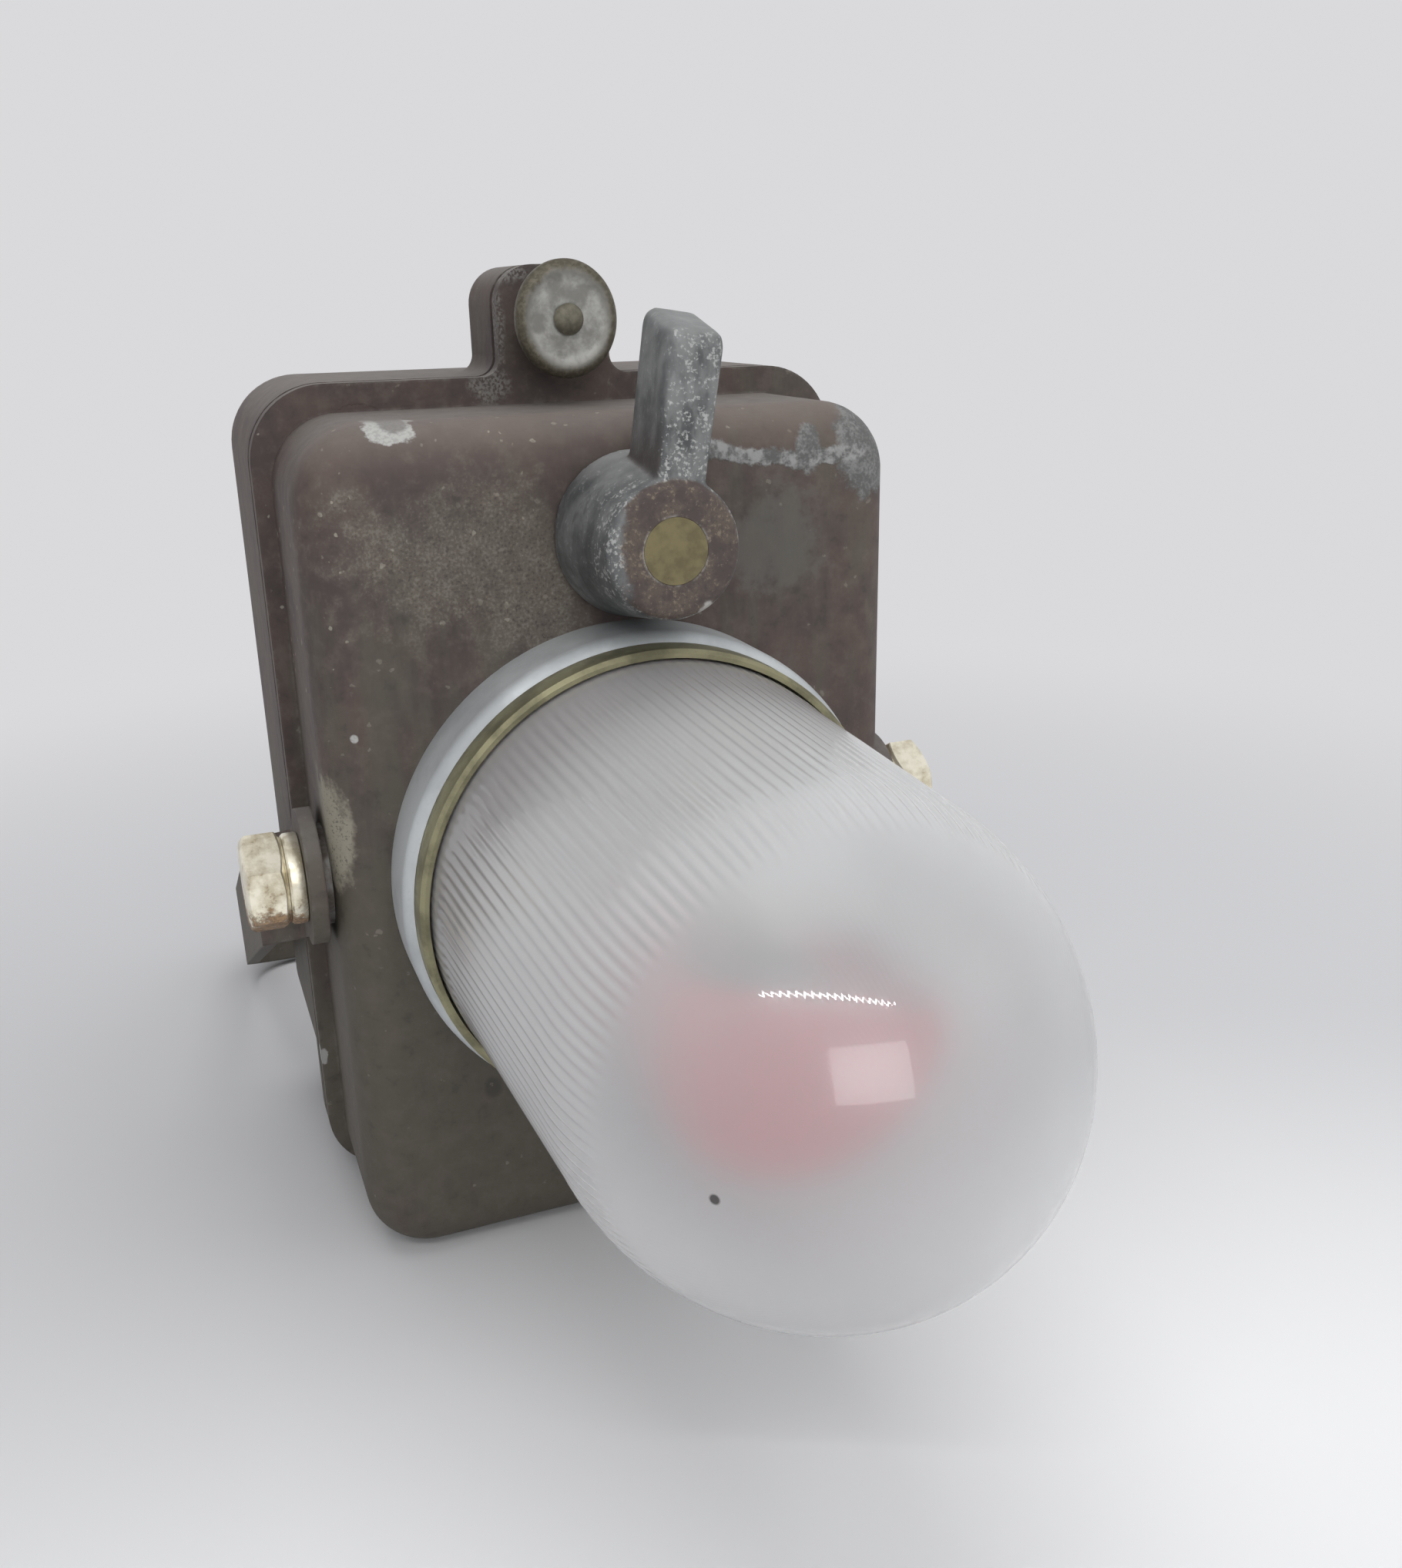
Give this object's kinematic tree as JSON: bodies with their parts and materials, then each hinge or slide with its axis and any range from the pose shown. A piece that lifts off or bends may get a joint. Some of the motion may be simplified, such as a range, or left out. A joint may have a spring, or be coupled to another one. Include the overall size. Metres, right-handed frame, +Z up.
{
  "type": "railroad lantern",
  "caption": "Battery-lit railway hand lantern: cast case with a frosted ribbed glass dome on the front, a switch lever, a closing screw on top and a swinging carrying bail.",
  "frame": {"origin": "on the flat underside of the front housing, midway across, 18 mm behind its face", "axes": "+Z up, the light points along -Y, +X to the right for a viewer who faces the light"},
  "size_m": [0.1182, 0.2359, 0.1564],
  "materials": {
    "brown_paint": "worn satin",
    "worn_iron": "worn",
    "plated_zinc": "dull",
    "steel": "dull",
    "yellow_zinc": "dull",
    "nickel": "dull",
    "dull_brass": "dull",
    "bare_aluminium": "dull",
    "white_enamel": "satin",
    "frosted_glass": "frosted",
    "clear_glass": "clear",
    "red_plastic": "translucent",
    "insulation": "matt",
    "battery_card": "matt",
    "seal_rubber": "matt",
    "grey_felt": "matt"
  },
  "bodies": {
    "case": {"front_housing": "brown_paint", "rear_case": "brown_paint", "case_seal": "seal_rubber", "bezel_collar": "plated_zinc", "bezel_lock_ring": "plated_zinc", "glass_seal": "seal_rubber", "glass_dome": "frosted_glass", "glass_clamp_ring": "dull_brass", "reflector_disc": "white_enamel", "lamp_plate": "insulation", "plate_screws": "dull_brass", "lamp_post": "bare_aluminium", "lamp_socket": "dull_brass", "socket_insulator": "insulation", "bulb_cap": "dull_brass", "bulb_globe": "clear_glass", "red_filter": "red_plastic", "shaft_bush": "dull_brass", "felt_washer": "grey_felt", "contact_blocks": "insulation", "contact_springs": "dull_brass", "battery_contacts": "dull_brass", "battery": "battery_card", "battery_strips": "dull_brass", "battery_strap": "steel", "side_bolts": "yellow_zinc", "bolt_collars": "yellow_zinc", "bolt_spacers": "steel"},
    "lever": {"switch_lever": "worn_iron", "lever_shaft": "dull_brass", "shaft_clip": "steel", "switch_rotor": "insulation", "rotor_screw": "steel"},
    "bail": {"handle_bail": "brown_paint"},
    "knob": {"closing_screw": "dull_brass", "thumb_knob": "nickel"}
  },
  "joints": [
    {"name": "lever_turn", "type": "hinge", "parent": "case", "child": "lever", "pos_m": [0.002, -0.018, 0.1172], "axis": [0, -1, 0], "range_deg": [-35, 55]},
    {"name": "bail_swing", "type": "hinge", "parent": "case", "child": "bail", "pos_m": [0, -0.0048, 0.0656], "axis": [1, 0, 0], "range_deg": [0, 225]},
    {"name": "knob_turn", "type": "hinge", "parent": "case", "child": "knob", "pos_m": [0, 0.012, 0.1475], "axis": [0, -1, 0], "continuous": true}
  ]
}
